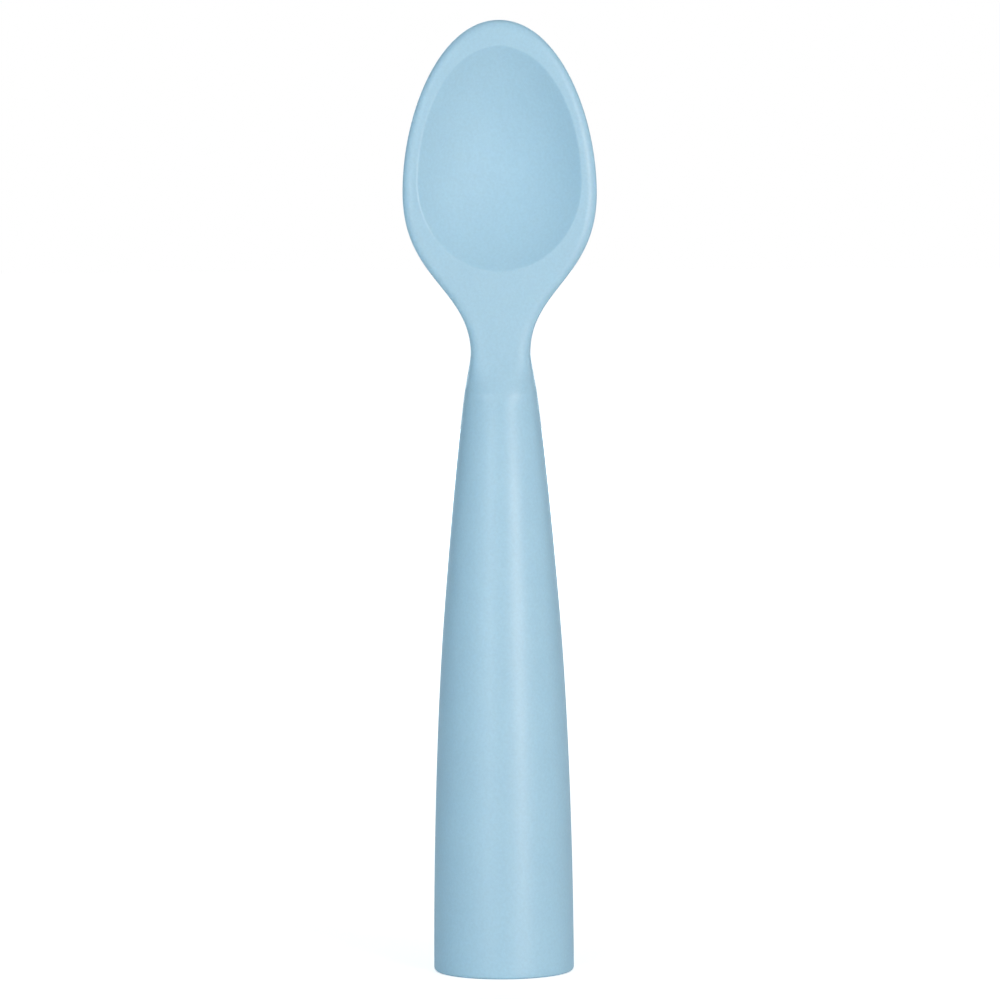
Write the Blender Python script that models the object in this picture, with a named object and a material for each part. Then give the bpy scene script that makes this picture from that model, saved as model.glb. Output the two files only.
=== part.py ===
"""Baby feeding spoon: a silicone moulding over a rigid core.

The spoon stands on its flat butt. Z runs from the butt to the tip of the bowl, X is the width, and the bowl
opens towards -Y. The origin is the centre of the butt, on the axis of the round handle. Units are metres.

Run it with: blender --background --python part.py
"""
import math

import bmesh
import bpy

MM = 0.001

# Driving dimensions of the silicone body
LENGTH = 140.0 * MM
BUTT_RADIUS = 10.3 * MM
BUTT_ROUNDING = 0.5 * MM
CREASE_HEIGHT = 85.3 * MM       # the round handle ends here, and the flat front starts
CREASE_RADIUS = 5.33 * MM
CREASE_DIP = 0.4 * MM           # how far back the front lies at the crease
DIP_BELOW = 10.0 * MM           # reach of the dip along the handle
DIP_ABOVE = 8.0 * MM            # and along the neck
NECK_HEIGHT = 91.4 * MM
NECK_HALF_WIDTH = 4.36 * MM
BOWL_HEIGHT = 114.8 * MM        # the bowl's widest and deepest place
BOWL_HALF_WIDTH = 14.15 * MM
ROUND = 2.0                     # exponent of a round or elliptic front; a squarer front has more
SQUAREST_HEIGHT = 90.5 * MM     # the neck's front is squarest here
FLAT_START = 88.5 * MM          # the front's flat starts here and has grown to its full width at FLAT_END
FLAT_END = 100.0 * MM
LIP_START = 98.0 * MM           # the widest line has come forward to the lip here
BOWL_ROOT_HEIGHT = 104.0 * MM   # the neck's section has become the bowl's section here
FRONT = -CREASE_RADIUS          # the flat front of the neck and the lip, as a Y value
LIP_ROUNDING = 1.0 * MM

# Bowl cavity: two half ellipses in the front plane, and a parabola in depth
CAVITY_HEIGHT = 116.3 * MM
CAVITY_HALF_WIDTH = 12.0 * MM
CAVITY_TO_TIP = 19.9 * MM
CAVITY_TO_NECK = 12.9 * MM
CAVITY_DEPTH = 5.2 * MM
CAVITY_RISE = 2.7 * MM          # from the cavity's widest place up to its deepest
BOWL_WALL = 1.9 * MM

# Rigid core
SKIN = 2.6 * MM                 # silicone round the core's barrel
MOULD_GAP = 0.3 * MM            # between the two pieces' facets
STUB_RADIUS = 3.0 * MM
STUB_RECESS = 0.4 * MM
CORE_FOOT = 3.2 * MM
BARREL_TOP = 76.0 * MM
TONGUE_BASE = 87.0 * MM
TONGUE_TOP = 100.0 * MM
TONGUE_HALF_WIDTH = 2.3 * MM
TONGUE_HALF_DEPTH = 1.6 * MM
TONGUE_CHAMFER = 1.0 * MM
TONGUE_CENTRE = -1.1 * MM       # Y of the tongue's middle

SIDE_STEPS = 6                  # facets of a rounded front corner
BACK_STEPS = 18                 # facets of the back, from side to side
CORE_SIDES = 24
CAVITY_SIDES = 40
CAVITY_RINGS = 8

SILICONE_BLUE = (0.39, 0.62, 0.76, 1.0)
CORE_WHITE = (0.80, 0.79, 0.75, 1.0)


def clear_scene():
    for obj in list(bpy.data.objects):
        bpy.data.objects.remove(obj, do_unlink=True)


def plain_material(name, colour, roughness):
    material = bpy.data.materials.new(name)
    material.use_nodes = True
    shader = material.node_tree.nodes["Principled BSDF"]
    shader.inputs["Base Color"].default_value = colour
    shader.inputs["Roughness"].default_value = roughness
    shader.inputs["Metallic"].default_value = 0.0
    return material


def share_between(value, start, end):
    return min(max((value - start) / (end - start), 0.0), 1.0)


def smooth(t):
    return t * t * (3.0 - 2.0 * t)


def bezier(points, t):
    """One point of a cubic curve through pairs of numbers."""
    s = 1.0 - t
    weights = (s ** 3, 3.0 * s * s * t, 3.0 * s * t * t, t ** 3)
    return tuple(sum(w * p[axis] for w, p in zip(weights, points)) for axis in (0, 1))


def across_at(curve, height):
    """The first number of a rising curve's point where its second number is the height."""
    low, high = 0.0, 1.0
    for _ in range(40):
        middle = 0.5 * (low + high)
        if bezier(curve, middle)[1] < height:
            low = middle
        else:
            high = middle
    return bezier(curve, low)[0]


# The outline in front view, as (half width, height) curves from the butt to the tip
BELLY = (8.57 * MM, 52.0 * MM)
BELLY_SLOPE = 0.077
CREASE_SLOPE = 0.132


def along(point, slope, rise):
    """A curve's handle: the place reached from a point by rising along its slope."""
    return (point[0] - slope * rise, point[1] + rise)


CREASE = (CREASE_RADIUS, CREASE_HEIGHT)
NECK = (NECK_HALF_WIDTH, NECK_HEIGHT)
BOWL = (BOWL_HALF_WIDTH, BOWL_HEIGHT)
LOWER_HANDLE = ((BUTT_RADIUS, 0.0), (BUTT_RADIUS, 17.3 * MM), along(BELLY, BELLY_SLOPE, -14.3 * MM),
                BELLY)
UPPER_HANDLE = (BELLY, along(BELLY, BELLY_SLOPE, 12.2 * MM), along(CREASE, CREASE_SLOPE, -7.9 * MM), CREASE)
NECK_IN = (CREASE, along(CREASE, CREASE_SLOPE, 1.4 * MM), along(NECK, 0.0, -1.0 * MM), NECK)
NECK_OUT = (NECK, along(NECK, 0.0, 9.4 * MM), along(BOWL, 0.0, -12.5 * MM), BOWL)
BOWL_TIP = (BOWL, along(BOWL, 0.0, 11.6 * MM), (8.6 * MM, LENGTH), (0.0, LENGTH))

# The back's centre line between the handle and the bowl's deepest place, as (Y, height)
BOWL_BACK = FRONT + CAVITY_DEPTH + BOWL_WALL
KEEL = ((CREASE_RADIUS, CREASE_HEIGHT), (4.5 * MM, 91.0 * MM), (BOWL_BACK, 99.0 * MM),
        (BOWL_BACK, 113.0 * MM))

TIP_END = 0.97                  # the last curve stops here, and the tip closes with a small flat
OUTLINE = ((LOWER_HANDLE, 7, 1.0), (UPPER_HANDLE, 7, 1.0), (NECK_IN, 3, 1.0), (NECK_OUT, 11, 1.0),
           (BOWL_TIP, 13, TIP_END))


def stations():
    """(half width, height) of every cross-section, from the butt up."""
    result = [(BUTT_RADIUS - BUTT_ROUNDING, 0.0),
              (BUTT_RADIUS - 0.3 * BUTT_ROUNDING, 0.3 * BUTT_ROUNDING),
              (BUTT_RADIUS, BUTT_ROUNDING)]
    for curve, steps, last in OUTLINE:
        result += [bezier(curve, last * k / steps) for k in range(1, steps + 1)]
    return result


RIM_RISE = 1.6 * MM             # how far the rim's round back rises behind the widest line
SMALLEST_FLAT = 0.05            # of the half width, so that a round section's points stay apart


def back_rises(half_width, height, widest_y, blend):
    """How far the back rises behind the widest line, in a half ellipse and in a parabola on top of it."""
    if height <= CREASE_HEIGHT:
        return half_width, 0.0
    back = across_at(KEEL, min(height, KEEL[3][1])) - widest_y
    ellipse = min(half_width + blend * (RIM_RISE - half_width), back)
    parabola = back - ellipse
    past_bowl = share_between(height, BOWL_HEIGHT, LENGTH)
    return ellipse * math.sqrt(1.0 - past_bowl ** 2), parabola * (1.0 - past_bowl ** 2)


def squareness_at(height):
    """Exponent of the front's corners."""
    exponent = (ROUND + 0.3 * smooth(share_between(height, CREASE_HEIGHT - 1.5 * MM, CREASE_HEIGHT))
                + 2.0 * smooth(share_between(height, CREASE_HEIGHT, SQUAREST_HEIGHT)))
    return exponent + (ROUND - exponent) * smooth(share_between(height, SQUAREST_HEIGHT, FLAT_END))


def front_at(half_width, height):
    """Y of the front's middle line, with a shallow dip at the crease."""
    plain = FRONT if height > CREASE_HEIGHT else -half_width
    reach = DIP_ABOVE if height > CREASE_HEIGHT else DIP_BELOW
    return plain + CREASE_DIP * max(0.0, 1.0 - abs(height - CREASE_HEIGHT) / reach) ** 2


def body_section(half_width, height):
    """One closed cross-section of the body: flat front, rounded front corners and curved back."""
    blend = smooth(share_between(height, CREASE_HEIGHT, BOWL_ROOT_HEIGHT))
    widest_y = smooth(share_between(height, CREASE_HEIGHT, LIP_START)) * (FRONT + LIP_ROUNDING)
    front_y = front_at(half_width, height)
    flat = max((half_width - LIP_ROUNDING) * smooth(share_between(height, FLAT_START, FLAT_END)),
               SMALLEST_FLAT * half_width)
    ellipse, parabola = back_rises(half_width, height, widest_y, blend)
    power = ROUND / squareness_at(height)

    right_front = []
    for k in range(SIDE_STEPS + 1):
        angle = 0.5 * math.pi * k / SIDE_STEPS
        right_front.append((flat + (half_width - flat) * math.sin(angle) ** power,
                            widest_y - (widest_y - front_y) * abs(math.cos(angle)) ** power))
    back = []
    for k in range(1, BACK_STEPS):
        angle = math.pi * k / BACK_STEPS
        rise = math.sin(angle)
        back.append((half_width * math.cos(angle), widest_y + ellipse * rise + parabola * rise * rise))
    left_front = [(-x, y) for x, y in reversed(right_front)]
    return [(x, y, height) for x, y in right_front + back + left_front]


def core_section(height, half_width, half_depth, centre_y, squareness):
    """An ellipse, or with squareness over 0 a rounded rectangle."""
    power = 1.0 - 0.5 * squareness
    points = []
    for k in range(CORE_SIDES):
        angle = 2.0 * math.pi * k / CORE_SIDES
        c, s = math.cos(angle), math.sin(angle)
        points.append((half_width * math.copysign(abs(c) ** power, c),
                       centre_y + half_depth * math.copysign(abs(s) ** power, s), height))
    return points


def barrel_radius(height):
    return across_at(LOWER_HANDLE if height < BELLY[1] else UPPER_HANDLE, height) - SKIN


def core_sections(gap, foot):
    """The core's cross-sections, grown by gap. Its stub starts at the height foot."""
    barrel = [CORE_FOOT + (BARREL_TOP - CORE_FOOT) * k / 8 for k in range(9)]
    shoulder = CORE_FOOT - gap
    sections = [core_section(foot, STUB_RADIUS + gap, STUB_RADIUS + gap, 0.0, 0.0),
                core_section(shoulder, STUB_RADIUS + gap, STUB_RADIUS + gap, 0.0, 0.0)]
    for k, height in enumerate(barrel):
        radius = barrel_radius(height) + gap
        sections.append(core_section(shoulder if k == 0 else height, radius, radius, 0.0, 0.0))
    top_radius = barrel_radius(BARREL_TOP)
    for k in range(1, 5):
        t = smooth(k / 4)
        height = BARREL_TOP + (TONGUE_BASE - BARREL_TOP) * k / 4
        sections.append(core_section(height, top_radius + t * (TONGUE_HALF_WIDTH - top_radius) + gap,
                                     top_radius + t * (TONGUE_HALF_DEPTH - top_radius) + gap,
                                     t * TONGUE_CENTRE, t))
    for inset in (0.0, TONGUE_CHAMFER):
        height = TONGUE_TOP - TONGUE_CHAMFER + inset
        sections.append(core_section(height + gap, TONGUE_HALF_WIDTH - inset + gap,
                                     TONGUE_HALF_DEPTH - inset + gap, TONGUE_CENTRE, 1.0))
    return sections


def cavity_ring(fraction, y):
    """The cavity's egg outline, shrunk towards its deepest place to a fraction of its size, at one depth."""
    points = []
    for k in range(CAVITY_SIDES):
        angle = 2.0 * math.pi * k / CAVITY_SIDES
        reach = CAVITY_TO_TIP if math.sin(angle) > 0.0 else CAVITY_TO_NECK
        points.append((CAVITY_HALF_WIDTH * fraction * math.cos(angle), y,
                       CAVITY_HEIGHT + CAVITY_RISE * (1.0 - fraction) + reach * fraction * math.sin(angle)))
    return points


def cavity_rings():
    """From the deepest ring out to the front plane, and on past it at the same slope."""
    overrun = 1.12
    fractions = [k / CAVITY_RINGS for k in range(1, CAVITY_RINGS + 1)] + [overrun]
    return [cavity_ring(f, FRONT + CAVITY_DEPTH * (1.0 - f * f)) for f in fractions]


def loft(name, rings):
    """A closed solid through rings of points, with a flat face on each end."""
    shape = bmesh.new()
    loops = [[shape.verts.new(point) for point in ring] for ring in rings]
    for lower, upper in zip(loops, loops[1:]):
        for k in range(len(lower)):
            shape.faces.new((lower[k - 1], lower[k], upper[k], upper[k - 1]))
    shape.faces.new(reversed(loops[0]))
    shape.faces.new(loops[-1])
    bmesh.ops.recalc_face_normals(shape, faces=shape.faces)
    mesh = bpy.data.meshes.new(name)
    shape.to_mesh(mesh)
    shape.free()
    mesh.shade_smooth()
    mesh.set_sharp_from_angle(angle=math.radians(30.0))
    obj = bpy.data.objects.new(name, mesh)
    bpy.context.scene.collection.objects.link(obj)
    return obj


def as_cutter(obj):
    obj.hide_render = True
    obj.display_type = "WIRE"
    return obj


def cut(target, cutter):
    modifier = target.modifiers.new("cut_" + cutter.name, "BOOLEAN")
    modifier.operation = "DIFFERENCE"
    modifier.solver = "EXACT"
    modifier.object = cutter


def make_silicone_body():
    body = loft("silicone_body", [body_section(w, z) for w, z in stations()])
    body.data.materials.append(plain_material("silicone", SILICONE_BLUE, 0.5))
    cut(body, as_cutter(loft("cavity_cutter", cavity_rings())))
    cut(body, as_cutter(loft("core_pocket_cutter", core_sections(MOULD_GAP, -1.0 * MM))))
    return body


def make_handle_core():
    core = loft("handle_core", core_sections(0.0, STUB_RECESS))
    core.data.materials.append(plain_material("core_plastic", CORE_WHITE, 0.45))
    return core


def main():
    clear_scene()
    make_silicone_body()
    make_handle_core()


main()
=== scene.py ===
"""Looks of the baby feeding spoon: fine meshes, materials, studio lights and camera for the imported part.

The spoon stands on its butt. Z runs up to the bowl's tip, X is the width, and the bowl opens towards -Y.
"""

import math

import bmesh
import bpy
import numpy as np
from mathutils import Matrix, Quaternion, Vector


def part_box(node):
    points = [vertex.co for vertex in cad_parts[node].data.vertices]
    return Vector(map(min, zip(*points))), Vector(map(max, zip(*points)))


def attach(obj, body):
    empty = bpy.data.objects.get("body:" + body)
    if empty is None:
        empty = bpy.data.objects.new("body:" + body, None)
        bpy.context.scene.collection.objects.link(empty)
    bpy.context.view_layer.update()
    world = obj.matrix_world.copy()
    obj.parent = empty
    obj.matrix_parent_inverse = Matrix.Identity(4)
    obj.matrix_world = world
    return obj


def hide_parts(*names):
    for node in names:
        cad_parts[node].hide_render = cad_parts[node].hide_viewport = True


MM = 0.001
TINY = 1e-9                     # shorter than any length that counts, in metres

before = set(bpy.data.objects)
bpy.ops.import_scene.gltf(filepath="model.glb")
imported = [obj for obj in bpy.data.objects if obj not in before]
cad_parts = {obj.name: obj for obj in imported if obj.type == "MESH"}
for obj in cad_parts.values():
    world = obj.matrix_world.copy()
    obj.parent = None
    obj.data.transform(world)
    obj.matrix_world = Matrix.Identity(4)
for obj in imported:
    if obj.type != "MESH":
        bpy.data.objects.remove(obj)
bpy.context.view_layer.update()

# ---------------------------------------------------------------- sizes, as in the CAD part unless said
BODY_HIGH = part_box("silicone_body")[1]
CORE_LOW, CORE_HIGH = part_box("handle_core")

LENGTH = BODY_HIGH.z
BOWL_HALF_WIDTH = BODY_HIGH.x
BUTT_RADIUS = BODY_HIGH.y
BUTT_ROUNDING = 0.5 * MM
CREASE_HEIGHT = 85.3 * MM
CREASE_RADIUS = 5.33 * MM
CREASE_DIP = 0.4 * MM           # how far the front lies back at the crease
DIP_BELOW = 10.0 * MM           # reach of the dip down the handle
DIP_ABOVE = 8.0 * MM            # reach of the dip up the neck
NECK_HEIGHT = 91.4 * MM
NECK_HALF_WIDTH = 4.36 * MM
BOWL_HEIGHT = 114.8 * MM        # the bowl's widest place
ROUND = 2.0                     # exponent of a round or elliptic front; a squarer front has more
CREASE_EXTRA = 0.3              # what the exponent gains just below the crease
CREASE_SQUARING = 1.5 * MM      # the length over which it gains that
NECK_EXTRA = 2.0                # what it gains from the crease up to the squarest height
SQUAREST_HEIGHT = 90.5 * MM     # the neck's front is squarest here
FLAT_START = 88.5 * MM          # the front's flat starts here and has grown to its full width at FLAT_END
FLAT_END = 100.0 * MM
LIP_START = 98.0 * MM           # the widest line has come forward to the lip here
BOWL_ROOT_HEIGHT = 104.0 * MM   # the neck's section has become the bowl's section here
FRONT = -CREASE_RADIUS          # the flat front of the neck and the lip, as a Y value
FRONT_SOFTNESS = 0.05 * MM      # of the change of slope at the crease, not in the CAD
LIP_ROUNDING = 1.0 * MM         # how far the rim's widest line lies behind the lip
EDGE_WIDTH = 1.6 * MM           # the lip curves away to the rim over this width, wider than in the CAD
BACK_ROUNDING = 1.3 * MM        # of the rim, behind its widest line; not in the CAD

CAVITY_HEIGHT = 116.3 * MM
CAVITY_HALF_WIDTH = 12.0 * MM
CAVITY_TO_TIP = 19.9 * MM
CAVITY_TO_NECK = 12.9 * MM
CAVITY_DEPTH = 5.2 * MM
CAVITY_RISE = 2.7 * MM          # from the cavity's widest place up to its deepest
CAVITY_EDGE_ROUNDING = 0.7 * MM   # not in the CAD
BOWL_WALL = 1.9 * MM
BOWL_BACK = FRONT + CAVITY_DEPTH + BOWL_WALL

SKIN = 2.6 * MM                 # silicone round the core's barrel
BOND_GAP = 0.03 * MM            # between core and silicone, which are bonded; wider in the CAD
STUB_RADIUS = 3.0 * MM
STUB_CHAMFER = 0.25 * MM        # not in the CAD
STUB_HOLE_ROUNDING = 0.25 * MM  # not in the CAD
STUB_RECESS = CORE_LOW.z
CORE_FOOT = 3.2 * MM
BARREL_TOP = 76.0 * MM
TONGUE_BASE = 87.0 * MM
TONGUE_TOP = CORE_HIGH.z
TONGUE_HALF_WIDTH = 2.3 * MM
TONGUE_HALF_DEPTH = 1.6 * MM
TONGUE_CENTRE = -1.1 * MM       # Y of the tongue's middle
TONGUE_ROUNDING = 1.0 * MM      # a chamfer in the CAD

# ---------------------------------------------------------------- mesh density
FLAT_STEPS = 9                  # from the front's middle to the edge of its flat
CORNER_STEPS = 15               # from there to the parting line
BACK_STEPS = 28                 # from the parting line to the back's middle
PARTING_OFFSETS = np.array([0.1, 0.2, 0.32, 0.5]) * MM   # extra points beside the parting line
PARTING_HEIGHT = 0.035 * MM
PARTING_WIDTH = 0.12 * MM
HALF_POINTS = FLAT_STEPS + CORNER_STEPS + BACK_STEPS + 2 * len(PARTING_OFFSETS) + 1
CURVE_STEPS = 400               # of each outline curve
CORNER_POINTS = 121             # of a dense rounded corner or parabola, before it is sampled
HALVINGS = 50                   # of an interval that is searched
RIBS_BELOW, RIBS_ABOVE = 42, 65   # of the bowl, up to its widest place and above it
BUTT_LOOP_RADIUS = 6.0 * MM     # a loop of points on the flat butt, between the stub's hole and the edge
SPOKE_LOOP_HEIGHT = 99.5 * MM   # closed loops below, ribs of the bowl above
BARREL_LOOPS, SHOULDER_LOOPS = 40, 12   # of the core, and of its pocket
HOLE_EDGE_LOOPS, BUTT_EDGE_LOOPS = 5, 9
ROUNDED_EDGE_LOOPS = 8          # round the tongue's end and the cavity's edge
CAVITY_POINTS, LIP_POINTS = 33, 7   # of a spoke, from the deepest place to the edge and along the lip
MERGE_DISTANCE = 1e-7           # metres, for points where two grids meet
SHORTEST_EDGE = 1e-8            # metres


# ---------------------------------------------------------------- curves
def bezier(points, steps):
    """Points of a cubic curve, both ends included."""
    t = np.linspace(0.0, 1.0, steps + 1)[:, None]
    s = 1.0 - t
    p = np.array(points)
    return s ** 3 * p[0] + 3 * s * s * t * p[1] + 3 * s * t * t * p[2] + t ** 3 * p[3]


def smooth_step(value, start, end):
    t = np.clip((value - start) / (end - start), 0.0, 1.0)
    return t * t * (3.0 - 2.0 * t)


BELLY = (8.57 * MM, 52.0 * MM)  # a point of the handle's outline, as (half width, height)
BELLY_SLOPE = 0.077             # loss of half width with height
CREASE_SLOPE = 0.132


def outline_curves():
    """The outline in front view, as (half width, height) curves from the butt to the tip."""
    def along(point, slope, rise):
        return (point[0] - slope * rise, point[1] + rise)

    crease = (CREASE_RADIUS, CREASE_HEIGHT)
    neck = (NECK_HALF_WIDTH, NECK_HEIGHT)
    bowl = (BOWL_HALF_WIDTH, BOWL_HEIGHT)
    return (
        ((BUTT_RADIUS, 0.0), (BUTT_RADIUS, 17.3 * MM), along(BELLY, BELLY_SLOPE, -14.3 * MM), BELLY),
        (BELLY, along(BELLY, BELLY_SLOPE, 12.2 * MM), along(crease, CREASE_SLOPE, -7.9 * MM), crease),
        (crease, along(crease, CREASE_SLOPE, 1.4 * MM), along(neck, 0.0, -1.0 * MM), neck),
        (neck, along(neck, 0.0, 9.4 * MM), along(bowl, 0.0, -12.5 * MM), bowl),
        (bowl, along(bowl, 0.0, 11.6 * MM), (8.6 * MM, LENGTH), (0.0, LENGTH)),
    )


LOWER_OUTLINE = np.vstack([bezier(curve, CURVE_STEPS) for curve in outline_curves()[:4]])
UPPER_OUTLINE = bezier(outline_curves()[4], CURVE_STEPS)
KEEL = bezier(((CREASE_RADIUS, CREASE_HEIGHT), (4.5 * MM, 91.0 * MM),
               (BOWL_BACK, 99.0 * MM), (BOWL_BACK, 113.0 * MM)), CURVE_STEPS)


def half_width(height):
    return float(np.interp(height, LOWER_OUTLINE[:, 1], LOWER_OUTLINE[:, 0]))


def keel_depth(height):
    """Y of the back's middle line."""
    if height <= CREASE_HEIGHT:
        return half_width(height)
    return float(np.interp(height, KEEL[:, 1], KEEL[:, 0]))


def front_depth(height):
    """Y of the front's middle line. The round handle blends into the flat front, with a slight dip."""
    if height < CREASE_HEIGHT:
        radius = half_width(height)
    else:
        radius = CREASE_RADIUS - CREASE_SLOPE * (height - CREASE_HEIGHT)
    mean, spread = 0.5 * (radius + CREASE_RADIUS), 0.5 * (radius - CREASE_RADIUS)
    reach = DIP_BELOW if height < CREASE_HEIGHT else DIP_ABOVE
    dip = CREASE_DIP * max(0.0, 1.0 - abs(height - CREASE_HEIGHT) / reach) ** 2
    return dip - (mean + math.hypot(spread, FRONT_SOFTNESS))


# ---------------------------------------------------------------- half sections
def back_corner_angle(width, rise, corner_x, corner_y):
    """Where a rounded back corner runs on tangentially into the parabola of the back."""
    def mismatch(angle):
        across = width - corner_x + corner_x * math.cos(angle)
        return corner_y / corner_x / math.tan(angle) - 2.0 * (rise - corner_y * math.sin(angle)) / across

    low, high = math.radians(5.0), math.radians(89.99)   # the limits of the search
    if mismatch(high) > 0.0:
        return 0.5 * math.pi
    for _ in range(HALVINGS):
        middle = 0.5 * (low + high)
        if mismatch(middle) > 0.0:
            low = middle
        else:
            high = middle
    return low


def half_profile(width, flat, squareness, front_y, widest_y, back_y, corner_x, corner_y):
    """Dense (across, y) points of half a section: the front, from the flat's edge on, and the back."""
    angle = np.linspace(0.0, 0.5 * math.pi, 2 * CORNER_POINTS - 1)
    power = 2.0 / squareness
    front = np.column_stack([flat + (width - flat) * np.sin(angle) ** power,
                             widest_y - (widest_y - front_y) * np.abs(np.cos(angle)) ** power])
    front[-1] = (width, widest_y)
    join = back_corner_angle(width, back_y - widest_y, corner_x, corner_y)
    angle = np.linspace(0.0, join, CORNER_POINTS)
    corner = np.column_stack([width - corner_x + corner_x * np.cos(angle),
                              widest_y + corner_y * np.sin(angle)])
    join_x, join_y = corner[-1]
    across = np.linspace(join_x, 0.0, CORNER_POINTS)[1:] if join_x > TINY else np.zeros(0)
    parabola = np.column_stack([across, back_y - (back_y - join_y) * (across / max(join_x, TINY)) ** 2])
    return front, np.vstack([corner, parabola])


def distances(line):
    """How far along a line of points each point is."""
    steps = np.linalg.norm(np.diff(line, axis=0), axis=1)
    return np.concatenate([[0.0], np.cumsum(steps)])


def at_distances(line, wanted):
    along = distances(line)
    return np.column_stack([np.interp(wanted, along, line[:, k]) for k in range(line.shape[1])])


def raise_parting_line(points, offsets):
    """Pushes points out by a fine ridge where the two halves of the mould met."""
    ridge = PARTING_HEIGHT * np.exp(-(offsets / PARTING_WIDTH) ** 2)
    tangent = np.gradient(points, axis=0)
    normal = np.column_stack([-tangent[:, 1], tangent[:, 0]])
    normal /= np.linalg.norm(normal, axis=1)[:, None]
    outward = np.sign(np.sum(normal * (points - points.mean(axis=0)), axis=1))[:, None]
    return points + normal * outward * ridge[:, None]


def rim_points(front, back):
    """Points from the flat's edge over the parting line to the back's middle."""
    front_length, back_length = distances(front)[-1], distances(back)[-1]
    before = np.concatenate([np.linspace(0.0, front_length - PARTING_OFFSETS[-1], CORNER_STEPS + 1)[:-1],
                             front_length - PARTING_OFFSETS[::-1]])
    after = np.concatenate([[0.0], PARTING_OFFSETS[:-1],
                            np.linspace(PARTING_OFFSETS[-1], back_length, BACK_STEPS + 1)])
    points = np.vstack([at_distances(front, before), at_distances(back, after)])
    offsets = np.concatenate([before - front_length, after])
    return raise_parting_line(points, offsets)


def section_shape(height):
    """The numbers of the section at one height between the butt and the bowl's widest place."""
    width = half_width(height)
    flat = (width - EDGE_WIDTH) * smooth_step(height, FLAT_START, FLAT_END)
    squareness = (ROUND + CREASE_EXTRA * smooth_step(height, CREASE_HEIGHT - CREASE_SQUARING, CREASE_HEIGHT)
                  + NECK_EXTRA * smooth_step(height, CREASE_HEIGHT, SQUAREST_HEIGHT))
    squareness += (ROUND - squareness) * smooth_step(height, SQUAREST_HEIGHT, FLAT_END)
    widest_y = smooth_step(height, CREASE_HEIGHT, LIP_START) * (FRONT + LIP_ROUNDING)
    blend = smooth_step(height, CREASE_HEIGHT, BOWL_ROOT_HEIGHT)
    corner_x = width + blend * (BACK_ROUNDING - width)
    corner_y = min(width, CREASE_RADIUS) if height > CREASE_HEIGHT else width
    corner_y = corner_y + blend * (BACK_ROUNDING - corner_y)
    back_y = keel_depth(height)
    corner_y = min(corner_y, back_y - widest_y)
    return width, flat, squareness, front_depth(height), widest_y, back_y, corner_x, corner_y


def body_half_loop(height):
    """Half a closed loop, from the front's middle round to the back's middle, as 3-D points."""
    shape = section_shape(height)
    flat, front_y = shape[1], shape[3]
    front, back = half_profile(*shape)
    whole_front = np.vstack([[[0.0, front_y]], front]) if flat > TINY else front
    front_length = distances(whole_front)[-1]
    free_length = front_length - PARTING_OFFSETS[-1]
    even = np.linspace(0.0, free_length, FLAT_STEPS + CORNER_STEPS + 1)[:-1]
    aligned = np.concatenate([np.linspace(0.0, flat, FLAT_STEPS + 1)[:-1],
                              np.linspace(flat, free_length, CORNER_STEPS + 1)[:-1]])
    share = smooth_step(height, CREASE_HEIGHT, SPOKE_LOOP_HEIGHT - 1.0 * MM)
    before = np.concatenate([(1.0 - share) * even + share * aligned, front_length - PARTING_OFFSETS[::-1]])
    back_length = distances(back)[-1]
    after = np.concatenate([[0.0], PARTING_OFFSETS[:-1],
                            np.linspace(PARTING_OFFSETS[-1], back_length, BACK_STEPS + 1)])
    points = np.vstack([at_distances(whole_front, before), at_distances(back, after)])
    points = raise_parting_line(points, np.concatenate([before - front_length, after]))
    points[0, 0] = points[-1, 0] = 0.0
    return np.column_stack([points, np.full(len(points), height)])


def round_half_loop(height, radius_x, radius_y, centre_y, squareness=0.0):
    """Half an ellipse, or with squareness half a rounded rectangle, with as many points as a body loop."""
    angle = np.linspace(-0.5 * math.pi, 0.5 * math.pi, HALF_POINTS)
    power = 1.0 - 0.5 * squareness
    across = np.abs(np.cos(angle)) ** power
    deep = np.sign(np.sin(angle)) * np.abs(np.sin(angle)) ** power
    across[0] = across[-1] = 0.0
    return np.column_stack([radius_x * across, centre_y + radius_y * deep, np.full(HALF_POINTS, height)])


# ---------------------------------------------------------------- meshes from half grids
def add_half_grid(shape, rows):
    """Adds faces between rows of points on the +X side, and their mirror images."""
    for side in (1.0, -1.0):
        grid = [[shape.verts.new((side * x, y, z)) for x, y, z in row] for row in rows]
        for lower, upper in zip(grid, grid[1:]):
            for k in range(len(lower) - 1):
                corners = [lower[k], lower[k + 1], upper[k + 1], upper[k]]
                shape.faces.new(corners if side > 0.0 else corners[::-1])


def finish_mesh(shape, name):
    """Joins the grids along their shared edges and makes a smooth-shaded object."""
    bmesh.ops.remove_doubles(shape, verts=shape.verts, dist=MERGE_DISTANCE)
    bmesh.ops.dissolve_degenerate(shape, edges=shape.edges, dist=SHORTEST_EDGE)
    bmesh.ops.recalc_face_normals(shape, faces=shape.faces)
    mesh = bpy.data.meshes.new(name)
    shape.to_mesh(mesh)
    shape.free()
    mesh.shade_smooth()
    obj = bpy.data.objects.new(name, mesh)
    bpy.context.scene.collection.objects.link(obj)
    return obj


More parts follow.
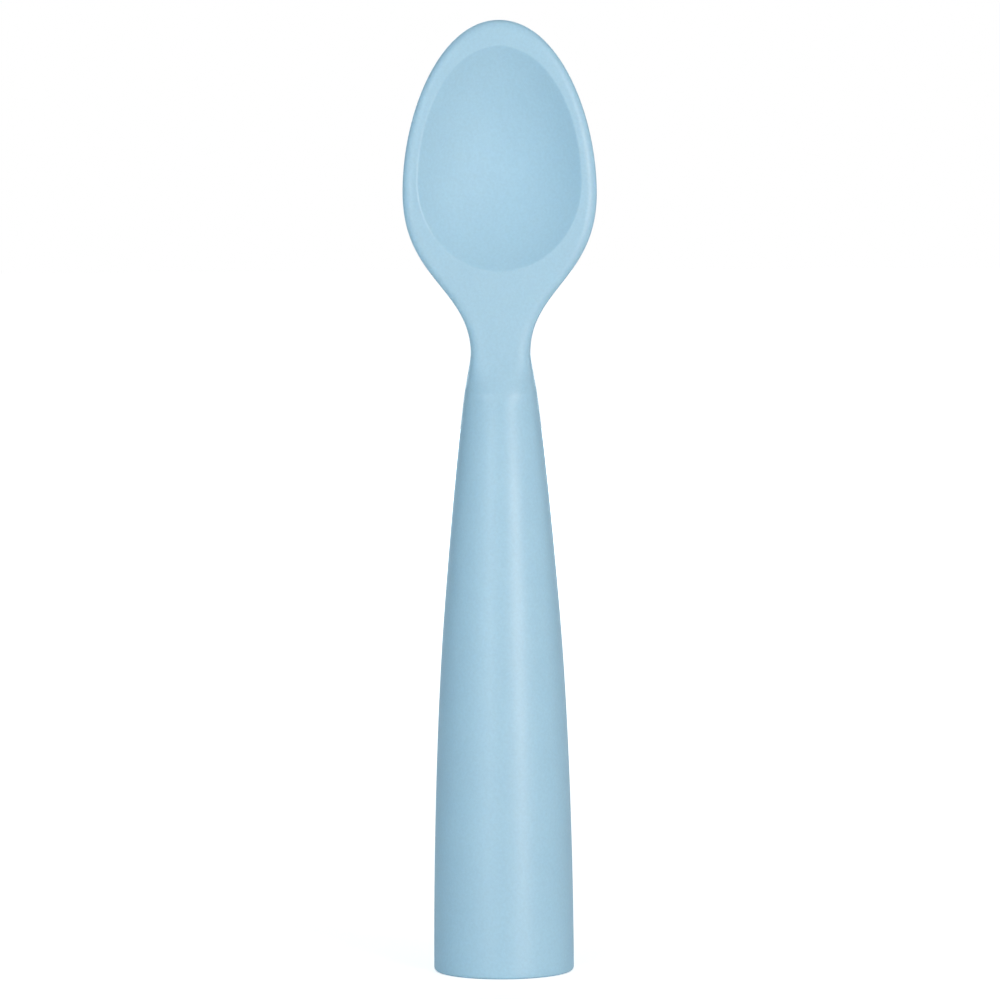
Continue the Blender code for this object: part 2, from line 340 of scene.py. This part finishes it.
def core_loops(gap):
    """Half loops of the core's outside from its shoulder to the tongue's end, grown by gap."""
    loops = []
    for height in np.linspace(CORE_FOOT, BARREL_TOP, BARREL_LOOPS):
        radius = half_width(height) - SKIN + gap
        loops.append(round_half_loop(height, radius, radius, 0.0))
    top_radius = half_width(BARREL_TOP) - SKIN
    for t in np.linspace(0.0, 1.0, SHOULDER_LOOPS + 1)[1:]:
        blend = smooth_step(t, 0.0, 1.0)
        loops.append(round_half_loop(BARREL_TOP + t * (TONGUE_BASE - BARREL_TOP),
                                     top_radius + blend * (TONGUE_HALF_WIDTH - top_radius) + gap,
                                     top_radius + blend * (TONGUE_HALF_DEPTH - top_radius) + gap,
                                     blend * TONGUE_CENTRE, blend))
    for angle in np.linspace(0.0, 0.5 * math.pi, ROUNDED_EDGE_LOOPS):
        shrink = TONGUE_ROUNDING * (1.0 - math.cos(angle))
        loops.append(round_half_loop(TONGUE_TOP - TONGUE_ROUNDING + TONGUE_ROUNDING * math.sin(angle),
                                     TONGUE_HALF_WIDTH - shrink + gap, TONGUE_HALF_DEPTH - shrink + gap,
                                     TONGUE_CENTRE, 1.0))
    loops.append(round_half_loop(TONGUE_TOP, 0.0, 0.0, TONGUE_CENTRE))
    return loops


def body_loop_heights():
    """Closer together where the surface turns: at the butt, the crease and the neck."""
    # Each span is (start, end, steps).
    spans = ((BUTT_ROUNDING, 4.0 * MM, 6), (4.0 * MM, 80.0 * MM, 76), (80.0 * MM, 83.5 * MM, 7),
             (83.5 * MM, 88.0 * MM, 22), (88.0 * MM, SPOKE_LOOP_HEIGHT, 30))
    heights = [BUTT_ROUNDING]
    for start, end, steps in spans:
        heights += list(np.linspace(start, end, steps + 1)[1:])
    return heights


def butt_half_loops():
    """From the stub's hole out across the flat butt and round its edge."""
    hole = STUB_RADIUS + BOND_GAP
    edge = STUB_HOLE_ROUNDING
    loops = [round_half_loop(CORE_FOOT, hole, hole, 0.0), round_half_loop(edge, hole, hole, 0.0)]
    for angle in np.linspace(0.0, 0.5 * math.pi, HOLE_EDGE_LOOPS + 1)[1:]:
        radius = hole + edge * (1.0 - math.cos(angle))
        loops.append(round_half_loop(edge * (1.0 - math.sin(angle)), radius, radius, 0.0))
    loops.append(round_half_loop(0.0, BUTT_LOOP_RADIUS, BUTT_LOOP_RADIUS, 0.0))
    full = body_half_loop(BUTT_ROUNDING)
    for angle in np.linspace(0.0, 0.5 * math.pi, BUTT_EDGE_LOOPS + 1)[:-1]:
        loop = full.copy()
        radius = BUTT_RADIUS - BUTT_ROUNDING * (1.0 - math.sin(angle))
        loop[:, :2] *= radius / BUTT_RADIUS
        loop[:, 2] = BUTT_ROUNDING * (1.0 - math.cos(angle))
        loops.append(loop)
    return loops


def bowl_ribs():
    """For each rib of the bowl, its points from the flat lip's edge over the rim to the back's middle."""
    ribs = []
    for height in np.linspace(SPOKE_LOOP_HEIGHT, BOWL_HEIGHT, RIBS_BELOW):
        front, back = half_profile(*section_shape(height))
        points = rim_points(front, back)
        ribs.append(np.column_stack([points, np.full(len(points), height)]))
    reach = np.hypot(UPPER_OUTLINE[:, 0], UPPER_OUTLINE[:, 1] - BOWL_HEIGHT)
    bearing = np.arctan2(UPPER_OUTLINE[:, 1] - BOWL_HEIGHT, UPPER_OUTLINE[:, 0])
    along = distances(UPPER_OUTLINE)
    for distance in np.linspace(0.0, along[-1], RIBS_ABOVE + 1)[1:]:
        angle = float(np.interp(distance, along, bearing))
        radius = float(np.interp(distance, along, reach))
        front, back = half_profile(radius, max(radius - EDGE_WIDTH, 0.0), ROUND, FRONT, FRONT + LIP_ROUNDING,
                                   BOWL_BACK, BACK_ROUNDING, BACK_ROUNDING)
        points = rim_points(front, back)
        ribs.append(np.column_stack([points[:, 0] * math.cos(angle), points[:, 1],
                                     BOWL_HEIGHT + points[:, 0] * math.sin(angle)]))
        if distance == along[-1]:
            ribs[-1][:, 0] = 0.0
    return ribs


def distance_to_cavity_edge(along, up):
    """From the deepest place to the cavity's egg-shaped edge, in one direction."""
    low, high = 0.0, 2.0 * CAVITY_TO_TIP
    for _ in range(HALVINGS):
        middle = 0.5 * (low + high)
        rise = CAVITY_RISE + middle * up
        lengthwise = CAVITY_TO_TIP if rise > 0.0 else CAVITY_TO_NECK
        if math.hypot(middle * along / CAVITY_HALF_WIDTH, rise / lengthwise) < 1.0:
            low = middle
        else:
            high = middle
    return low


def cavity_spoke(end):
    """Points from the cavity's deepest place up its wall, over its edge and along the lip to a point."""
    centre = CAVITY_HEIGHT + CAVITY_RISE
    angle = math.atan2(end[2] - centre, end[0])
    along, up = math.cos(angle), math.sin(angle)
    edge = distance_to_cavity_edge(along, up)
    slope = math.atan(2.0 * CAVITY_DEPTH / edge)
    trim = CAVITY_EDGE_ROUNDING * math.tan(0.5 * slope)
    inner = edge - trim * math.cos(slope)
    inner_y = FRONT + CAVITY_DEPTH * (1.0 - (inner / edge) ** 2)
    profile = [(inner * t, FRONT + CAVITY_DEPTH - (FRONT + CAVITY_DEPTH - inner_y) * t * t)
               for t in np.linspace(0.0, 1.0, CAVITY_POINTS)]
    for t in np.linspace(1.0, 0.0, ROUNDED_EDGE_LOOPS)[1:]:
        turn = slope * t
        profile.append((edge + trim - CAVITY_EDGE_ROUNDING * math.sin(turn),
                        FRONT + CAVITY_EDGE_ROUNDING * (1.0 - math.cos(turn))))
    reach = math.hypot(end[0], end[2] - centre)
    lip_start = edge + trim
    profile += [(lip_start + (reach - lip_start) * t, FRONT) for t in np.linspace(0.0, 1.0, LIP_POINTS)[1:]]
    points = np.array([(distance * along, y, centre + distance * up) for distance, y in profile])
    points[-1] = end
    if abs(end[0]) < TINY:
        points[:, 0] = 0.0
    return points


CAVITY_FADE_START = 0.85        # share of the way to the cavity's edge
CAVITY_TOLERANCE = 0.1 * MM


def mark_cavity(body):
    """A point attribute that is 1 in the cavity and fades to 0 towards its edge, for the material."""
    attribute = body.data.attributes.new("cavity", "FLOAT", "POINT")
    centre = CAVITY_HEIGHT + CAVITY_RISE
    for index, vertex in enumerate(body.data.vertices):
        x, y, z = vertex.co
        reach = math.hypot(x, z - centre)
        if z < CAVITY_HEIGHT - CAVITY_TO_NECK or abs(x) > CAVITY_HALF_WIDTH or reach < TINY:
            inside = 0.0 if reach > TINY else 1.0
        else:
            share = reach / distance_to_cavity_edge(x / reach, (z - centre) / reach)
            floor_y = FRONT + CAVITY_DEPTH * (1.0 - share ** 2)
            on_floor = abs(y - floor_y) < CAVITY_TOLERANCE
            inside = 1.0 - smooth_step(share, CAVITY_FADE_START, 1.0) if on_floor else 0.0
        attribute.data[index].value = inside


def make_spoon_body():
    shape = bmesh.new()
    pocket = core_loops(BOND_GAP)[::-1]
    closed = [body_half_loop(height) for height in body_loop_heights()]
    add_half_grid(shape, pocket + butt_half_loops() + closed)
    ribs = bowl_ribs()
    add_half_grid(shape, ribs)
    across_neck = closed[-1][:FLAT_STEPS + 1]
    ends = list(across_neck[:-1]) + [rib[0] for rib in ribs]
    add_half_grid(shape, [cavity_spoke(end) for end in ends])
    body = finish_mesh(shape, "spoon_body")
    mark_cavity(body)
    return body


def make_core():
    """The core, with a chamfered stub and the small nub that its mould left on it."""
    shape = bmesh.new()
    nub_radius, nub_height = 0.6 * MM, 0.15 * MM
    nub_edge, nub_foot = 0.1 * MM, 0.05 * MM
    bevel = 0.3 * STUB_CHAMFER
    # Each ring is (height, radius).
    rings = ((STUB_RECESS - nub_height, 0.0), (STUB_RECESS - nub_height, nub_radius - nub_edge),
             (STUB_RECESS - 0.5 * nub_height, nub_radius), (STUB_RECESS, nub_radius + nub_foot),
             (STUB_RECESS, STUB_RADIUS - STUB_CHAMFER), (STUB_RECESS + bevel, STUB_RADIUS - bevel),
             (STUB_RECESS + STUB_CHAMFER, STUB_RADIUS), (CORE_FOOT, STUB_RADIUS))
    stub = [round_half_loop(height, radius, radius, 0.0) for height, radius in rings]
    add_half_grid(shape, stub + core_loops(0.0))
    return finish_mesh(shape, "core")


# ---------------------------------------------------------------- materials
def new_material(name):
    material = bpy.data.materials.new(name)
    material.use_nodes = True
    nodes, links = material.node_tree.nodes, material.node_tree.links
    return material, nodes, links, nodes["Principled BSDF"]


def noise(nodes, links, coordinates, scale, detail):
    node = nodes.new("ShaderNodeTexNoise")
    node.inputs["Scale"].default_value = scale
    node.inputs["Detail"].default_value = detail
    links.new(coordinates, node.inputs["Vector"])
    return node.outputs["Fac"]


def colour_ramp(nodes, links, value, low, high, start=0.0, end=1.0):
    """A colour that goes from low to high as the value goes from start to end."""
    ramp = nodes.new("ShaderNodeValToRGB")
    for element, position, colour in zip(ramp.color_ramp.elements, (start, end), (low, high)):
        element.position = position
        element.color = (*colour, 1.0)
    links.new(value, ramp.inputs["Fac"])
    return ramp.outputs["Color"]


def map_range(nodes, links, value, low, high, start=0.0, end=1.0):
    """A number that goes from low to high as the value goes from start to end."""
    node = nodes.new("ShaderNodeMapRange")
    for socket, number in (("From Min", start), ("From Max", end), ("To Min", low), ("To Max", high)):
        node.inputs[socket].default_value = number
    links.new(value, node.inputs["Value"])
    return node.outputs["Result"]


SILICONE_DARK, SILICONE_LIGHT = (0.388, 0.617, 0.752), (0.398, 0.632, 0.767)
SILICONE_ROUGHNESS = (0.36, 0.44)
CAVITY_EXTRA_ROUGHNESS = 0.2
SPECKLE = 0.03                  # how far the fine grain darkens and lightens the silicone
GRAIN_HEIGHT = 0.02 * MM
TINT_SCALE, PATCH_SCALE, GRAIN_SCALE = 90.0, 160.0, 2600.0   # of the noises, per metre
TINT_SPAN, GRAIN_SPAN = (0.35, 0.65), (0.3, 0.7)   # noise values for the darkest and the lightest


def silicone_material():
    material, nodes, links, shader = new_material("silicone")
    place = nodes.new("ShaderNodeTexCoord").outputs["Object"]

    tint = noise(nodes, links, place, TINT_SCALE, detail=3.0)
    colour = colour_ramp(nodes, links, tint, SILICONE_DARK, SILICONE_LIGHT, *TINT_SPAN)
    grain = noise(nodes, links, place, GRAIN_SCALE, detail=2.0)
    speckle = map_range(nodes, links, grain, 1.0 - SPECKLE, 1.0 + SPECKLE, *GRAIN_SPAN)
    speckled = nodes.new("ShaderNodeVectorMath")
    speckled.operation = "SCALE"
    links.new(colour, speckled.inputs[0])
    links.new(speckle, speckled.inputs["Scale"])
    links.new(speckled.outputs["Vector"], shader.inputs["Base Color"])

    patches = noise(nodes, links, place, PATCH_SCALE, detail=4.0)
    cavity = nodes.new("ShaderNodeAttribute")
    cavity.attribute_name = "cavity"
    roughness = nodes.new("ShaderNodeMath")
    roughness.operation = "MULTIPLY_ADD"
    links.new(cavity.outputs["Fac"], roughness.inputs[0])
    roughness.inputs[1].default_value = CAVITY_EXTRA_ROUGHNESS
    links.new(map_range(nodes, links, patches, *SILICONE_ROUGHNESS), roughness.inputs[2])
    links.new(roughness.outputs["Value"], shader.inputs["Roughness"])

    bump = nodes.new("ShaderNodeBump")
    bump.inputs["Strength"].default_value = 0.5
    bump.inputs["Distance"].default_value = GRAIN_HEIGHT
    links.new(grain, bump.inputs["Height"])
    links.new(bump.outputs["Normal"], shader.inputs["Normal"])

    shader.inputs["IOR"].default_value = 1.5
    shader.inputs["Subsurface Weight"].default_value = 0.25
    shader.inputs["Subsurface Radius"].default_value = (0.9, 1.2, 1.5)
    shader.inputs["Subsurface Scale"].default_value = 0.7 * MM
    return material


CORE_DARK, CORE_LIGHT = (0.76, 0.75, 0.70), (0.83, 0.82, 0.78)
CORE_ROUGHNESS = (0.35, 0.5)


def core_material():
    material, nodes, links, shader = new_material("core_plastic")
    place = nodes.new("ShaderNodeTexCoord").outputs["Object"]
    flow = noise(nodes, links, place, scale=220.0, detail=3.0)
    links.new(colour_ramp(nodes, links, flow, CORE_DARK, CORE_LIGHT), shader.inputs["Base Color"])
    links.new(map_range(nodes, links, flow, *CORE_ROUGHNESS), shader.inputs["Roughness"])
    shader.inputs["Subsurface Weight"].default_value = 0.1
    shader.inputs["Subsurface Scale"].default_value = 1.0 * MM
    return material


# ---------------------------------------------------------------- studio
SKY_LIGHT = 0.11                # what the surround adds to the lights; the camera sees it white
GLOW = (0.63, 1.0)              # lift of the floor to white for the camera, near the spoon and far off
GLOW_REACH = (0.1, 1.0)         # metres from the spoon, for the two lifts
FLOOR_DARK, FLOOR_LIGHT = (0.86, 0.86, 0.86), (0.88, 0.88, 0.88)
FLOOR_RADIUS = 6.0
WHITE = (1.0, 1.0, 1.0, 1.0)


def floor_material():
    material, nodes, links, shader = new_material("pale_floor")
    place = nodes.new("ShaderNodeTexCoord").outputs["Object"]
    mottle = noise(nodes, links, place, scale=6.0, detail=2.0)
    links.new(colour_ramp(nodes, links, mottle, FLOOR_DARK, FLOOR_LIGHT), shader.inputs["Base Color"])
    shader.inputs["Roughness"].default_value = 0.9
    shader.inputs["Specular IOR Level"].default_value = 0.0

    distance = nodes.new("ShaderNodeVectorMath")
    distance.operation = "LENGTH"
    links.new(place, distance.inputs[0])
    seen = nodes.new("ShaderNodeMath")
    seen.operation = "MULTIPLY"
    links.new(map_range(nodes, links, distance.outputs["Value"], *GLOW, *GLOW_REACH), seen.inputs[0])
    links.new(nodes.new("ShaderNodeLightPath").outputs["Is Camera Ray"], seen.inputs[1])
    shader.inputs["Emission Color"].default_value = WHITE
    links.new(seen.outputs["Value"], shader.inputs["Emission Strength"])
    return material


def make_floor():
    bpy.ops.mesh.primitive_circle_add(vertices=96, radius=FLOOR_RADIUS, fill_type="NGON",
                                      location=(0.0, 0.0, 0.0))
    floor = bpy.context.object
    floor.name = "floor"
    floor.data.materials.append(floor_material())


def make_world():
    """A white surround that hardly lights the spoon, which is left to the area lights."""
    world = bpy.data.worlds.new("studio")
    world.use_nodes = True
    bpy.context.scene.world = world
    nodes, links = world.node_tree.nodes, world.node_tree.links
    is_camera = nodes.new("ShaderNodeLightPath").outputs["Is Camera Ray"]
    background = nodes["Background"]
    background.inputs["Color"].default_value = WHITE
    links.new(map_range(nodes, links, is_camera, SKY_LIGHT, 1.0), background.inputs["Strength"])


def softbox(name, bearing, height, size, power, colour, distance=1.6):
    """An area light aimed at the spoon's middle. The bearing is in degrees to the right of the front."""
    light = bpy.data.lights.new(name, "AREA")
    light.shape = "RECTANGLE"
    light.size, light.size_y = size
    light.energy = power
    light.color = colour
    obj = bpy.data.objects.new(name, light)
    angle = math.radians(bearing)
    obj.location = (distance * math.sin(angle), -distance * math.cos(angle), height)
    aim = Vector((0.0, 0.0, 0.5 * LENGTH)) - obj.location
    obj.rotation_euler = aim.to_track_quat("-Z", "Y").to_euler()
    bpy.context.scene.collection.objects.link(obj)


# Light colours. The shaded sides are slightly bluer and the highlight slightly warmer than the rest.
WARM = (1.20, 0.96, 0.84)
PALE_WARM = (1.04, 0.99, 0.97)
PALE_COOL = (0.96, 1.0, 1.04)
COOL = (0.85, 1.02, 1.13)
DEEP_COOL = (0.72, 1.03, 1.25)


def make_lights():
    # name, bearing, height, size, power and colour
    softbox("key", 33.0, 0.40, (0.6, 1.2), 6.5, PALE_WARM)
    softbox("key_low", 31.0, 0.12, (0.45, 0.22), 5.3, WARM)
    softbox("second", -25.0, 0.40, (0.6, 1.2), 4.6, PALE_COOL)
    softbox("second_low", -25.0, 0.12, (0.5, 0.22), 2.6, PALE_WARM)
    softbox("left", -50.0, 0.35, (0.8, 1.2), 3.8, COOL)
    softbox("right", 60.0, 0.35, (0.8, 1.2), 1.85, COOL)
    softbox("far_left", -95.0, 0.35, (1.0, 1.2), 2.4, DEEP_COOL)
    softbox("far_right", 95.0, 0.35, (1.0, 1.2), 3.8, DEEP_COOL)
    softbox("front_low", 3.0, 0.03, (0.6, 0.10), 0.4, PALE_WARM, distance=1.2)
    softbox("top", 0.0, 1.6, (1.2, 1.2), 3.5, COOL, distance=0.5)
    softbox("back", 180.0, 0.5, (1.4, 1.4), 15.0, COOL)


CAMERA_TARGET = Vector((-0.21 * MM, 0.0, 69.65 * MM))
CAMERA_DISTANCE = 0.8
CAMERA_ELEVATION = math.radians(3.4)
CAMERA_ROLL = math.radians(-0.33)
CAMERA_LENS, SENSOR_WIDTH = 195.56, 36.0   # in millimetres


def make_camera():
    data = bpy.data.cameras.new("camera")
    data.lens = CAMERA_LENS
    data.sensor_width = SENSOR_WIDTH
    data.clip_start, data.clip_end = 0.05, 30.0
    camera = bpy.data.objects.new("camera", data)
    back = Vector((0.0, -math.cos(CAMERA_ELEVATION), math.sin(CAMERA_ELEVATION)))
    camera.location = CAMERA_TARGET + CAMERA_DISTANCE * back
    level = (-back).to_track_quat("-Z", "Y")
    camera.rotation_euler = (level @ Quaternion((0.0, 0.0, 1.0), CAMERA_ROLL)).to_euler()
    bpy.context.scene.collection.objects.link(camera)
    bpy.context.scene.camera = camera


# ---------------------------------------------------------------- assembly
body = make_spoon_body()
body.data.materials.append(silicone_material())
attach(body, "root")
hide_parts("silicone_body")

core = make_core()
core.data.materials.append(core_material())
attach(core, "root")
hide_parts("handle_core")

make_floor()
make_world()
make_lights()
make_camera()
bpy.context.scene.view_settings.view_transform = "Standard"
